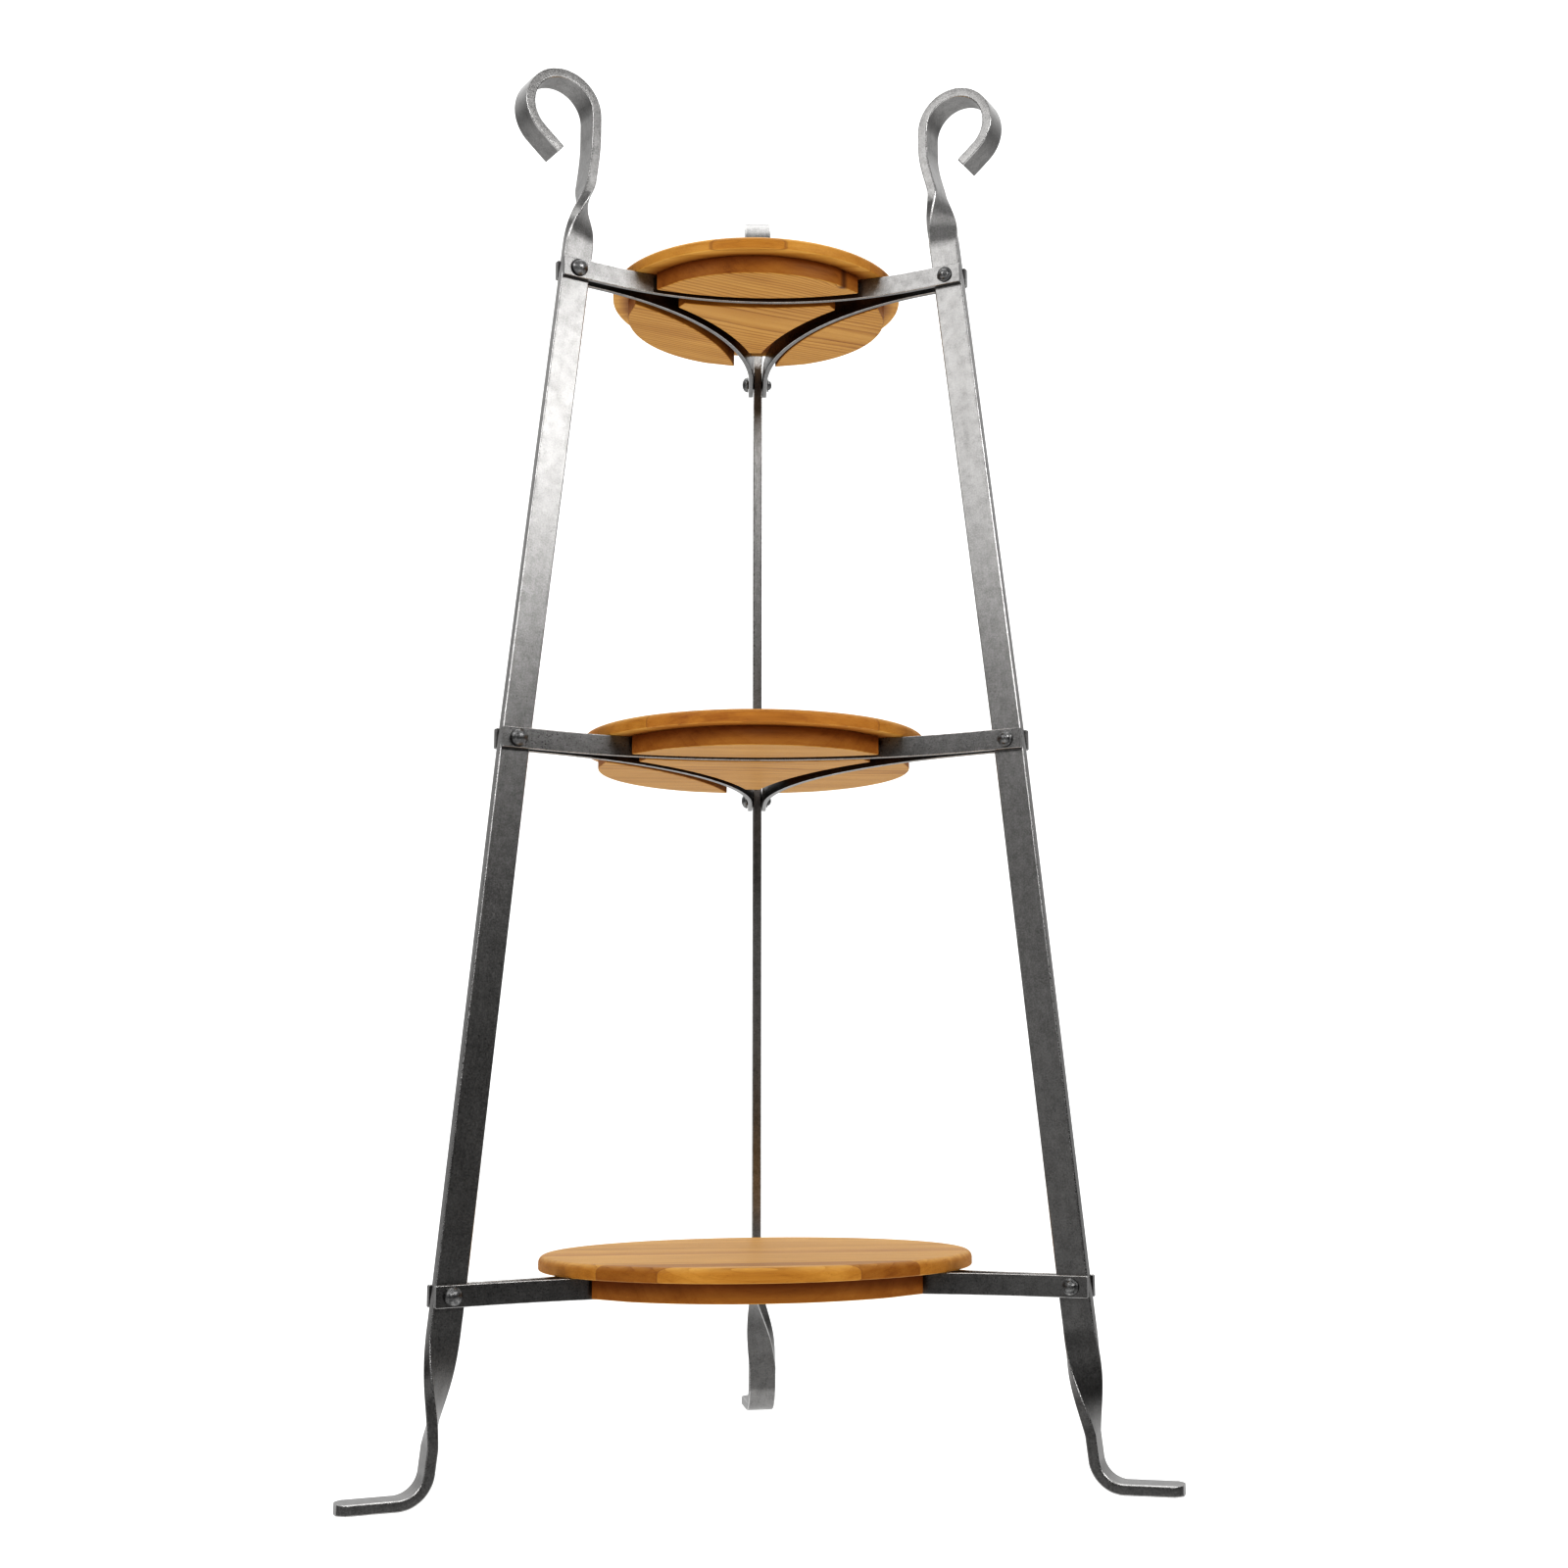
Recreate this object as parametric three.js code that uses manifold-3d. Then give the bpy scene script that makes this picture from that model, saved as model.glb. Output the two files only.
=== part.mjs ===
// Free-standing three-tier tripod display stand.
// Three forged flat-bar legs (scrolled tops, quarter twists, turned-out feet) are tied together
// on three levels by curved flat straps on edge, riveted through each leg. A round wooden board
// lies loose on the straps of each level, located by blocks glued under it.
// Units are millimetres, +Z is up, the floor is Z = 0.
import * as THREE from 'three';
import { mergeVertices } from 'three/addons/utils/BufferGeometryUtils.js';
import Module from 'manifold-3d';

const wasm = await Module();
wasm.setup();

// ---------------------------------------------------------------- driving dimensions
const GAP = 0.3; // clearance kept between separate pieces that bear on each other
const GLUE_LINE = 0.1; // between a board and the blocks glued under it

// Bar stock
const LEG_WIDTH = 19.05;
const LEG_THICKNESS = 6.35;
const LEG_EDGE = 0.9; // softened corner of the bar
const STRAP_HEIGHT = 12.6;
const STRAP_THICKNESS = 3.2;
const STRAP_EDGE = 0.45;

// Layout: legs stand 120 degrees apart round the stand's axis
const AXIS_Y = -66.83; // the axis is offset so that the origin is the middle of the footprint
// The legs are bent by hand, so their ends differ a little. scroll: its centre (radius from the
// axis, height), the radius of its centre line and the length of its straight end. toeTurn:
// degrees the foot is turned, seen from above. swing: how far the foot stands out of line.
const LEGS = [
  {
    name: 'leg_back', azimuth: 90, toeTurn: 6, swing: -4,
    scroll: { r: 151.5, z: 848.3, radius: 22.2, tail: 14 },
  },
  {
    name: 'leg_front_left', azimuth: 210, toeTurn: -10, swing: 0,
    scroll: { r: 151.5, z: 848.1, radius: 23.2, tail: 17 },
  },
  {
    name: 'leg_front_right', azimuth: 330, toeTurn: 10, swing: 0,
    scroll: { r: 147.9, z: 843.1, radius: 22.7, tail: 14 },
  },
];

// Levels: rivet height, radius of the leg's centre line there, and the board that lies on it
const LIP = 10.2; // how far a board overhangs its blocks
const LEVELS = [
  { name: 'top', z: 744, legRadius: 138.3, boardRadius: 96, tipRadius: 57.5, shift: [-3.0, 0.4] },
  { name: 'middle', z: 438.2, legRadius: 173.7, boardRadius: 110.8, tipRadius: 81.5, shift: [-4.5, 0] },
  { name: 'bottom', z: 113.7, legRadius: 207.5, boardRadius: 134.6, tipRadius: 105, shift: [-3.3, 0] },
];

// Leg profile in the leg's own radial plane (radius from the axis, height)
const TOE_END = 268;
const TOE_CLIP = 4.5; // corners cut off the end of the toe
const HEEL_BEND = 17.5; // centre-line radius of the turned-out foot
const HEEL_TOP = { r: 216.9, z: 30 }; // where the foot's bend has ended
const TWIST_LOW = [32, 92]; // heights between which the bar makes its lower quarter turn
const TWIST_HIGH = [762, 802]; // and its upper one
const SCROLL_END = -50; // the scroll's round part stops at this angle, then the end runs straight

// Rivets
const SHANK_RADIUS = 3.0;
const HEAD_RADIUS = 5.5;
const HEAD_HEIGHT = 4.3;
const FLANGE_RADIUS = 5.0; // hammered end: thin flange under a small dome
const FLANGE_HEIGHT = 0.8;
const PEEN_RADIUS = 3.7;
const PEEN_HEIGHT = 2.6;

// Boards
const BOARD_THICKNESS = 8.8;
const BOARD_ROUND = 4.2; // rounding of the upper edge
const BOARD_EASE = 1.2; // small chamfer of the lower edge
const BLOCK_EASE = 0.8;
const STRAP_CLEARANCE = 4.8; // between a strap's outer face and the block outside it
const CORE_CLEARANCE = 8.0; // between a strap's inner face and the middle block
const BLOCK_RAISE = 0.7; // undersides of the blocks above the straps' lower edges
const END_CUT_INSET = 1.0; // how far the blocks' end cuts stay inside the blocks' circle

// ---------------------------------------------------------------- materials
const steel = (name) =>
  new THREE.MeshStandardMaterial({ name, color: 0x8f8f8e, roughness: 0.42, metalness: 1 });
const darkSteel = () =>
  new THREE.MeshStandardMaterial({ name: 'oxidised steel', color: 0x46454a, roughness: 0.38, metalness: 1 });
const wood = (name, color) => new THREE.MeshStandardMaterial({ name, color, roughness: 0.5, metalness: 0 });

// ---------------------------------------------------------------- small helpers
const deg = Math.PI / 180;
const UP = new THREE.Vector3(0, 0, 1);
const radial = (azimuth) => new THREE.Vector3(Math.cos(azimuth * deg), Math.sin(azimuth * deg), 0);
const lateral = (azimuth) => new THREE.Vector3(-Math.sin(azimuth * deg), Math.cos(azimuth * deg), 0);
const add = (a, b, k = 1) => a.clone().addScaledVector(b, k);

function closedGeometry(points, faces) {
  let volume = 0;
  for (const [a, b, c] of faces) volume += points[a].dot(points[b].clone().cross(points[c]));
  const order = volume < 0 ? faces.map(([a, b, c]) => [a, c, b]) : faces;
  const geometry = new THREE.BufferGeometry().setFromPoints(points);
  geometry.setIndex(order.flat());
  return geometry;
}

// A flat bar swept through stations {at, wide, thick, width, thickness}: `wide` and `thick` are
// unit vectors across the bar's width and thickness. All four corners are chamfered by `edge`.
function sweepBar(stations, edge) {
  const points = [];
  const faces = [];
  for (const s of stations) {
    const w = s.width / 2;
    const t = s.thickness / 2;
    const section = [
      [w, t - edge], [w - edge, t], [edge - w, t], [-w, t - edge],
      [-w, edge - t], [edge - w, -t], [w - edge, -t], [w, edge - t],
    ];
    for (const [a, b] of section) points.push(add(add(s.at, s.wide, a), s.thick, b));
  }
  const n = 8;
  for (let i = 0; i + 1 < stations.length; i += 1) {
    for (let k = 0; k < n; k += 1) {
      const a = i * n + k;
      const b = i * n + ((k + 1) % n);
      faces.push([a, b, b + n], [a, b + n, a + n]);
    }
  }
  const last = (stations.length - 1) * n;
  for (let k = 1; k + 1 < n; k += 1) {
    faces.push([0, k + 1, k], [last, last + k, last + k + 1]);
  }
  return closedGeometry(points, faces);
}

function toManifold(geometry) {
  const bare = geometry.clone();
  for (const name of ['normal', 'uv']) bare.deleteAttribute(name);
  const merged = mergeVertices(bare, 1e-4);
  return new wasm.Manifold(new wasm.Mesh({
    numProp: 3,
    vertProperties: new Float32Array(merged.attributes.position.array),
    triVerts: new Uint32Array(merged.index.array),
  }));
}

function fromManifold(solid) {
  const mesh = solid.getMesh();
  const geometry = new THREE.BufferGeometry();
  geometry.setAttribute('position', new THREE.BufferAttribute(new Float32Array(mesh.vertProperties), 3));
  geometry.setIndex(new THREE.BufferAttribute(new Uint32Array(mesh.triVerts), 1));
  return geometry;
}

// Round hole of the given radius through a geometry, along `direction` through `at`
function drill(geometry, at, direction, radius) {
  const tool = new THREE.CylinderGeometry(radius, radius, 40, 12);
  tool.applyQuaternion(new THREE.Quaternion().setFromUnitVectors(new THREE.Vector3(0, 1, 0), direction));
  tool.translate(at.x, at.y, at.z);
  return fromManifold(toManifold(geometry).subtract(toManifold(tool)));
}

const root = new THREE.Group();
const stand = new THREE.Group(); // everything is laid out round the stand's axis
stand.position.set(0, AXIS_Y, 0);
root.add(stand);

function addMesh(name, geometry, material, parent = stand) {
  const mesh = new THREE.Mesh(geometry, material);
  mesh.name = name;
  parent.add(mesh);
  return mesh;
}

// ---------------------------------------------------------------- legs
// Centre line of a leg as a list of {r, z, twist, width}. twist 0: the bar's width lies in the
// leg's radial plane; twist 1: the width lies across it.
function quarterTurn(t) {
  const u = Math.min(1, Math.max(0, t));
  return 0.65 * u + 0.35 * (1 - Math.cos(Math.PI * u)) / 2;
}

const SOLE = LEG_THICKNESS / 2; // height of the toe's middle
const LEAN = Math.atan2(HEEL_TOP.r - LEVELS[2].legRadius, LEVELS[2].z - HEEL_TOP.z);
const CORNER = HEEL_TOP.r + (HEEL_TOP.z - SOLE) * Math.tan(LEAN); // where shank and toe lines meet

function legLine(scroll) {
  const line = [];
  const sole = SOLE;
  const full = LEG_WIDTH;

  // toe, from its clipped end to the heel; the bend is tangent to the toe and to the leaning shank
  const cornerR = CORNER;
  const turn = Math.PI / 2 - LEAN; // angle the foot is bent through
  const setback = HEEL_BEND * Math.tan(turn / 2);
  const centre = { r: cornerR + setback, z: sole + HEEL_BEND };
  line.push({ r: TOE_END, z: sole, twist: 1, width: full - 2 * TOE_CLIP });
  line.push({ r: TOE_END - 1.2, z: sole, twist: 1, width: full - 1.3 * TOE_CLIP });
  line.push({ r: TOE_END - TOE_CLIP, z: sole, twist: 1, width: full });
  line.push({ r: (TOE_END + centre.r) / 2, z: sole, twist: 1, width: full });
  const bendSteps = 6;
  for (let i = 0; i <= bendSteps; i += 1) {
    const a = -Math.PI / 2 - (turn * i) / bendSteps;
    line.push({
      r: centre.r + HEEL_BEND * Math.cos(a), z: centre.z + HEEL_BEND * Math.sin(a), twist: 1, width: full,
    });
  }

  // shank, straight between the levels, with a quarter turn near each end
  const knots = [
    { r: cornerR, z: sole }, ...[...LEVELS].reverse().map((l) => ({ r: l.legRadius, z: l.z })),
  ];
  const shankAt = (z) => {
    let i = 0;
    while (i + 2 < knots.length && z > knots[i + 1].z) i += 1;
    const [p, q] = [knots[i], knots[i + 1]];
    return p.r + ((q.r - p.r) * (z - p.z)) / (q.z - p.z);
  };
  const heights = [];
  const span = (from, to, steps) => {
    for (let i = 0; i <= steps; i += 1) heights.push(from + ((to - from) * i) / steps);
  };
  span(TWIST_LOW[0], TWIST_LOW[1], 9);
  heights.push(LEVELS[2].z, 260);
  heights.push(LEVELS[1].z - 12, LEVELS[1].z, LEVELS[1].z + 12, 590, LEVELS[0].z);
  span(TWIST_HIGH[0], 796, 7);
  for (const z of heights) {
    const low = 1 - quarterTurn((z - TWIST_LOW[0]) / (TWIST_LOW[1] - TWIST_LOW[0]));
    const high = quarterTurn((z - TWIST_HIGH[0]) / (TWIST_HIGH[1] - TWIST_HIGH[0]));
    line.push({ r: shankAt(z), z, twist: Math.max(low, high), width: full });
  }

  // stem: eases from the leaning shank into the upright start of the scroll
  const start = { r: scroll.r - scroll.radius, z: scroll.z - 12 };
  const from = { r: shankAt(796), z: 796, slope: (shankAt(796) - shankAt(790)) / 6 };
  const rise = start.z - from.z;
  const stemSteps = 4;
  for (let i = 1; i <= stemSteps; i += 1) {
    const t = i / stemSteps;
    const h00 = 2 * t ** 3 - 3 * t ** 2 + 1;
    const h10 = t ** 3 - 2 * t ** 2 + t;
    const z = from.z + rise * t;
    line.push({
      r: h00 * from.r + h10 * rise * from.slope + (1 - h00) * start.r,
      z,
      twist: quarterTurn((z - TWIST_HIGH[0]) / (TWIST_HIGH[1] - TWIST_HIGH[0])),
      width: full,
    });
  }

  // scroll, curling outwards and back under itself
  const scrollSteps = 18;
  for (let i = 0; i <= scrollSteps; i += 1) {
    const a = (180 + ((SCROLL_END - 180) * i) / scrollSteps) * deg;
    line.push({
      r: scroll.r + scroll.radius * Math.cos(a),
      z: scroll.z + scroll.radius * Math.sin(a),
      twist: 1,
      width: full,
    });
  }
  const end = line[line.length - 1];
  const out = SCROLL_END * deg;
  line.push({
    r: end.r + scroll.tail * Math.sin(out), z: end.z - scroll.tail * Math.cos(out), twist: 1, width: full,
  });
  return line;
}

function makeLeg({ name, azimuth, scroll, toeTurn, swing }) {
  const u = radial(azimuth);
  const t = lateral(azimuth);
  const line = legLine(scroll);
  const stations = line.map((p, i) => {
    const before = line[Math.max(0, i - 1)];
    const after = line[Math.min(line.length - 1, i + 1)];
    const back = new THREE.Vector2(p.r - before.r, p.z - before.z).normalize();
    const ahead = new THREE.Vector2(after.r - p.r, after.z - p.z).normalize();
    const along = back.add(ahead).normalize();
    const outward = u.clone().multiplyScalar(along.y).addScaledVector(UP, -along.x);
    const angle = (p.twist * Math.PI) / 2;
    const foot = p.z < TWIST_LOW[1] ? p.twist : 0; // grows through the lower twist
    const turned = (v) => v.applyAxisAngle(UP, toeTurn * foot * deg);
    const at = add(turned(u.clone().multiplyScalar(p.r - CORNER)), u, CORNER);
    return {
      at: add(at, t, swing * foot).addScaledVector(UP, p.z),
      wide: turned(outward.clone().multiplyScalar(Math.cos(angle)).addScaledVector(t, Math.sin(angle))),
      thick: turned(t.clone().multiplyScalar(Math.cos(angle)).addScaledVector(outward, -Math.sin(angle))),
      width: p.width,
      thickness: LEG_THICKNESS,
    };
  });
  let geometry = sweepBar(stations, LEG_EDGE);
  for (const level of LEVELS) {
    const at = u.clone().multiplyScalar(level.legRadius).addScaledVector(UP, level.z);
    geometry = drill(geometry, at, t, SHANK_RADIUS + GAP);
  }
  addMesh(name, geometry, steel('brushed leg steel'));
}
LEGS.forEach(makeLeg);

// ---------------------------------------------------------------- straps
// In plan a strap lies flat on the side of one leg, runs inwards, turns through 60 degrees in
// one arc and lies flat on the side of the next leg.
const SIDE = LEG_THICKNESS / 2 + GAP + STRAP_THICKNESS / 2; // from a leg's plane to the strap's middle
const STRAP_STRAIGHT = 11; // how far it stays straight inside the leg's inner edge
const STRAP_PROUD = 0.6; // how far its end passes the leg's outer edge

function strapPlan(level) {
  const vertex = SIDE / Math.sin(60 * deg); // where the two straight ends would meet, on the bisector
  const tangent = level.legRadius - LEG_WIDTH / 2 - STRAP_STRAIGHT;
  const radius = (tangent - vertex * Math.cos(60 * deg)) * Math.tan(60 * deg);
  const end = level.legRadius + LEG_WIDTH / 2 + STRAP_PROUD;
  return { radius, centre: vertex + radius / Math.sin(60 * deg), end };
}

// `from` is the azimuth of the leg at the strap's clockwise end; `bisector` is 60 degrees further on
function makeStrap(level, name, from) {
  const plan = strapPlan(level);
  const bisector = from + 60;
  const to = from + 120;
  const stations = [];
  const push = (at, normal) => stations.push({
    at: at.clone().setZ(level.z), wide: UP, thick: normal, width: STRAP_HEIGHT, thickness: STRAP_THICKNESS,
  });
  push(add(radial(from).multiplyScalar(plan.end), lateral(from), SIDE), lateral(from));
  const centre = radial(bisector).multiplyScalar(plan.centre);
  const steps = 14;
  for (let i = 0; i <= steps; i += 1) {
    // the arc bulges towards the stand's axis
    const normal = radial(bisector + 30 - (60 * i) / steps);
    push(add(centre, normal, -plan.radius), normal);
  }
  push(add(radial(to).multiplyScalar(plan.end), lateral(to), -SIDE), lateral(to).negate());
  // the arc runs from the first leg's side to the second's
  let geometry = sweepBar(stations, STRAP_EDGE);
  for (const [azimuth, side] of [[from, SIDE], [to, -SIDE]]) {
    const at = add(radial(azimuth).multiplyScalar(level.legRadius), lateral(azimuth), side).setZ(level.z);
    const tool = new THREE.CylinderGeometry(SHANK_RADIUS + GAP, SHANK_RADIUS + GAP, 12, 12);
    const axis = new THREE.Vector3(0, 1, 0);
    tool.applyQuaternion(new THREE.Quaternion().setFromUnitVectors(axis, lateral(azimuth)));
    tool.translate(at.x, at.y, at.z);
    geometry = fromManifold(toManifold(geometry).subtract(toManifold(tool)));
  }
  addMesh(name, geometry, steel('brushed strap steel'));
}

// ---------------------------------------------------------------- rivets
// Turned about its own axis (Y before it is placed): the domed head is at +Y, the hammered end at -Y
function rivetGeometry() {
  const seat = LEG_THICKNESS / 2 + 2 * GAP + STRAP_THICKNESS; // underside of either head
  const profile = [new THREE.Vector2(0, -seat - FLANGE_HEIGHT - PEEN_HEIGHT)];
  const peenSteps = 2;
  for (let i = 1; i <= peenSteps; i += 1) {
    const a = (i / peenSteps) * 80 * deg;
    const h = -seat - FLANGE_HEIGHT - PEEN_HEIGHT * Math.cos(a);
    profile.push(new THREE.Vector2(PEEN_RADIUS * Math.sin(a), h));
  }
  profile.push(new THREE.Vector2(FLANGE_RADIUS - 0.3, -seat - FLANGE_HEIGHT));
  profile.push(new THREE.Vector2(FLANGE_RADIUS, -seat - FLANGE_HEIGHT + 0.3));
  profile.push(new THREE.Vector2(FLANGE_RADIUS, -seat));
  profile.push(new THREE.Vector2(SHANK_RADIUS, -seat));
  profile.push(new THREE.Vector2(SHANK_RADIUS, seat));
  profile.push(new THREE.Vector2(HEAD_RADIUS - 0.2, seat));
  const headSteps = 3;
  for (let i = 0; i < headSteps; i += 1) {
    const a = (i / headSteps) * 90 * deg;
    profile.push(new THREE.Vector2(
      HEAD_RADIUS * Math.cos(a), seat + 0.4 + (HEAD_HEIGHT - 0.4) * Math.sin(a),
    ));
  }
  profile.push(new THREE.Vector2(0, seat + HEAD_HEIGHT));
  const geometry = new THREE.LatheGeometry(profile, 12);
  return fromManifold(toManifold(geometry));
}

function makeRivet(level, leg) {
  const mesh = addMesh(`rivet_${level.name}_${leg.name.slice(4)}`, rivetGeometry(), darkSteel());
  mesh.position.copy(radial(leg.azimuth).multiplyScalar(level.legRadius).setZ(level.z));
  mesh.quaternion.setFromUnitVectors(new THREE.Vector3(0, 1, 0), lateral(leg.azimuth));
}

// ---------------------------------------------------------------- boards
function boardGeometry(radius) {
  const t = BOARD_THICKNESS;
  const profile = [
    new THREE.Vector2(0, 0),
    new THREE.Vector2(radius - BOARD_EASE, 0),
    new THREE.Vector2(radius, BOARD_EASE),
  ];
  const steps = 3;
  for (let i = 0; i <= steps; i += 1) {
    const a = (i / steps) * 90 * deg;
    profile.push(new THREE.Vector2(
      radius - BOARD_ROUND + BOARD_ROUND * Math.cos(a), t - BOARD_ROUND + BOARD_ROUND * Math.sin(a),
    ));
  }
  profile.push(new THREE.Vector2(0, t));
  const geometry = new THREE.LatheGeometry(profile, 48);
  geometry.rotateX(Math.PI / 2); // the lathe's axis becomes vertical
  return fromManifold(toManifold(geometry));
}

function extrudeOutline(outline, bottom, top) {
  const shape = new THREE.Shape(outline.map(([x, y]) => new THREE.Vector2(x, y)));
  const depth = top - bottom - 2 * BLOCK_EASE;
  const geometry = new THREE.ExtrudeGeometry(shape, {
    depth, bevelEnabled: true, bevelThickness: BLOCK_EASE, bevelSize: BLOCK_EASE, bevelOffset: -BLOCK_EASE,
    bevelSegments: 1, curveSegments: 1,
  });
  geometry.translate(0, 0, bottom + BLOCK_EASE);
  return fromManifold(toManifold(geometry));
}

// The block that fills the middle of the star made by the three straps, its tips cut square
function coreOutline(level) {
  const plan = strapPlan(level);
  const reach = plan.radius + STRAP_THICKNESS / 2 + CORE_CLEARANCE;
  const steps = 10;
  const outline = [];
  for (const leg of LEGS) {
    const bisector = leg.azimuth + 60;
    const centre = radial(bisector).multiplyScalar(plan.centre);
    // half angle of the side's arc, where it meets the square tips
    const across = plan.centre * Math.cos(60 * deg) - level.tipRadius;
    const toTip = Math.asin(across / reach);
    const half = 30 * deg - toTip;
    for (let i = 0; i <= steps; i += 1) {
      const a = bisector * deg + half - (2 * half * i) / steps;
      outline.push([centre.x - reach * Math.cos(a), centre.y - reach * Math.sin(a)]);
    }
  }
  return outline;
}

// A block outside a strap: the strap's curve inside, the board's circle outside, ends cut off
// at 45 degrees so that it stays clear of the legs. Bisector along `azimuth`.
function segmentOutline(level, azimuth) {
  const plan = strapPlan(level);
  const inner = plan.radius - STRAP_THICKNESS / 2 - STRAP_CLEARANCE;
  const outer = level.boardRadius - LIP;
  const sum = (outer - END_CUT_INSET) * Math.SQRT2; // x + y along the end cut
  // end cut meets the outer circle
  const root2 = Math.sqrt(2 * outer ** 2 - sum ** 2);
  const outCorner = Math.atan2((sum - root2) / 2, (sum + root2) / 2);
  // end cut meets the inner curve: x = centre - sqrt(inner^2 - y^2) and x + y = sum
  const k = plan.centre - sum;
  const yIn = (-k + Math.sqrt(2 * inner ** 2 - k ** 2)) / 2;
  const inCorner = Math.asin(yIn / inner);
  const local = [];
  const steps = 10;
  for (let i = 0; i <= steps; i += 1) {
    const a = inCorner - (2 * inCorner * i) / steps;
    local.push([plan.centre - inner * Math.cos(a), inner * Math.sin(a)]);
  }
  for (let i = 0; i <= steps; i += 1) {
    const a = -outCorner + (2 * outCorner * i) / steps;
    local.push([outer * Math.cos(a), outer * Math.sin(a)]);
  }
  const c = Math.cos(azimuth * deg);
  const s = Math.sin(azimuth * deg);
  return local.map(([x, y]) => [x * c - y * s, x * s + y * c]);
}

const WOOD_TINTS = { top: 0xc98d4c, middle: 0xcb9352, bottom: 0xcf9c62 };

function makeBoard(level) {
  const seat = level.z + STRAP_HEIGHT / 2; // straps' upper edges
  const [dx, dy] = level.shift;
  const group = new THREE.Group(); // the loose board may lie anywhere within its play
  group.position.set(dx, dy, 0);
  stand.add(group);
  const disc = boardGeometry(level.boardRadius);
  disc.translate(0, 0, seat + GAP / 3);
  const tint = WOOD_TINTS[level.name];
  addMesh(`${level.name}_board`, disc, wood('board', tint), group);
  const top = seat + GAP / 3 - GLUE_LINE;
  const bottom = level.z - STRAP_HEIGHT / 2 + BLOCK_RAISE;
  const core = extrudeOutline(coreOutline(level), bottom, top);
  addMesh(`${level.name}_block_core`, core, wood('core', tint), group);
  for (const [side, azimuth] of [['front', 270], ['right', 30], ['left', 150]]) {
    const outline = segmentOutline(level, azimuth);
    addMesh(`${level.name}_block_${side}`, extrudeOutline(outline, bottom, top), wood(side, tint), group);
  }
}

// ---------------------------------------------------------------- assembly
const STRAPS = [['front', 210], ['right', 330], ['left', 90]];
for (const level of LEVELS) {
  for (const [side, from] of STRAPS) makeStrap(level, `${level.name}_strap_${side}`, from);
  for (const leg of LEGS) makeRivet(level, leg);
  makeBoard(level);
}

export default root;
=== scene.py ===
"""Looks for the three-tier tripod display stand: forged flat bar, riveted straps, loose wooden boards."""

import math

import bpy
from mathutils import Matrix, Vector


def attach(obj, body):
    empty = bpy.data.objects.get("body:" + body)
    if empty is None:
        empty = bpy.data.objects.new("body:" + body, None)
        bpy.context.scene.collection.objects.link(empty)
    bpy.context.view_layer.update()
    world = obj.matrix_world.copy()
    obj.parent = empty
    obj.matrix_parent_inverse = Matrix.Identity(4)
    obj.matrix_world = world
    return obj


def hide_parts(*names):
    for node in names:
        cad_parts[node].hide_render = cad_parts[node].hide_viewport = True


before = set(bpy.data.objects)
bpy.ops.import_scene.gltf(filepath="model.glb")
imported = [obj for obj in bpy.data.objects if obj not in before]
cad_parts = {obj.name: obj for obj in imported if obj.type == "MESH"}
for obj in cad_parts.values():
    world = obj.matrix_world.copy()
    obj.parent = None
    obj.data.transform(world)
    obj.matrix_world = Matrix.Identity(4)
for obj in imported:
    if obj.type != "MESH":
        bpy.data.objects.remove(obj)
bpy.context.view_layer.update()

MM = 0.001
UP = Vector((0, 0, 1))

# ------------------------------------------------------------------ camera
CAM_AT = Vector((-0.0238, -1.3909, 0.2209))
CAM_HEADING = math.radians(-4.09)  # about Z, from looking along +Y
CAM_PITCH = math.radians(9.484)  # looking up
CAM_ROLL = math.radians(-0.54)
CAM_SHIFT = (-0.0548, -0.0178)
CAM_LENS = 47.345

camera_data = bpy.data.cameras.new("camera")
camera_data.sensor_width = 36
camera_data.lens = CAM_LENS
camera_data.shift_x, camera_data.shift_y = CAM_SHIFT
camera_data.clip_end = 100
camera = bpy.data.objects.new("camera", camera_data)
bpy.context.scene.collection.objects.link(camera)
camera.matrix_world = (
    Matrix.Translation(CAM_AT)
    @ Matrix.Rotation(CAM_HEADING, 4, "Z")
    @ Matrix.Rotation(math.pi / 2 + CAM_PITCH, 4, "X")
    @ Matrix.Rotation(CAM_ROLL, 4, "Z")
)
bpy.context.scene.camera = camera
bpy.context.scene.view_settings.view_transform = "Standard"
bpy.context.scene.view_settings.look = "High Contrast"

# ------------------------------------------------------------------ dimensions, as in the CAD (mm)
AXIS_Y = -66.83
GAP = 0.3
LEG_WIDTH, LEG_THICKNESS = 19.05, 6.35
STRAP_HEIGHT, STRAP_THICKNESS = 12.6, 3.2
LEGS = {"back": 90, "front_left": 210, "front_right": 330}
STRAPS = {"front": 210, "right": 330, "left": 90}
SEGMENTS = {"front": 270, "right": 30, "left": 150}
LIP = 10.2
LEVELS = {
    "top": dict(z=744, leg=138.3, board=96, tip=57.5, shift=(-3.0, 0.4)),
    "middle": dict(z=438.2, leg=173.7, board=110.8, tip=81.5, shift=(-4.5, 0)),
    "bottom": dict(z=113.7, leg=207.5, board=134.6, tip=105, shift=(-3.3, 0)),
}
TOE_END, TOE_CLIP = 268, 4.5
# the toe's clipped corners: distance back from its end, and how many clips narrower it is there
TOE_CORNERS = ((0, 2.35), (0.25, 2.0), (0.9, 1.55), (2.4, 0.8), (TOE_CLIP, 0), (TOE_CLIP + 3, 0))
HEEL_BEND = 17.5
HEEL_TOP = (216.9, 30)
TWIST_LOW, TWIST_HIGH = (32, 92), (762, 802)
SHANK_TOP = 796
SCROLL_END, SCROLL_LEAD = -50, 12  # where the roll ends, degrees; height from the leg's curve to its centre
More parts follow.
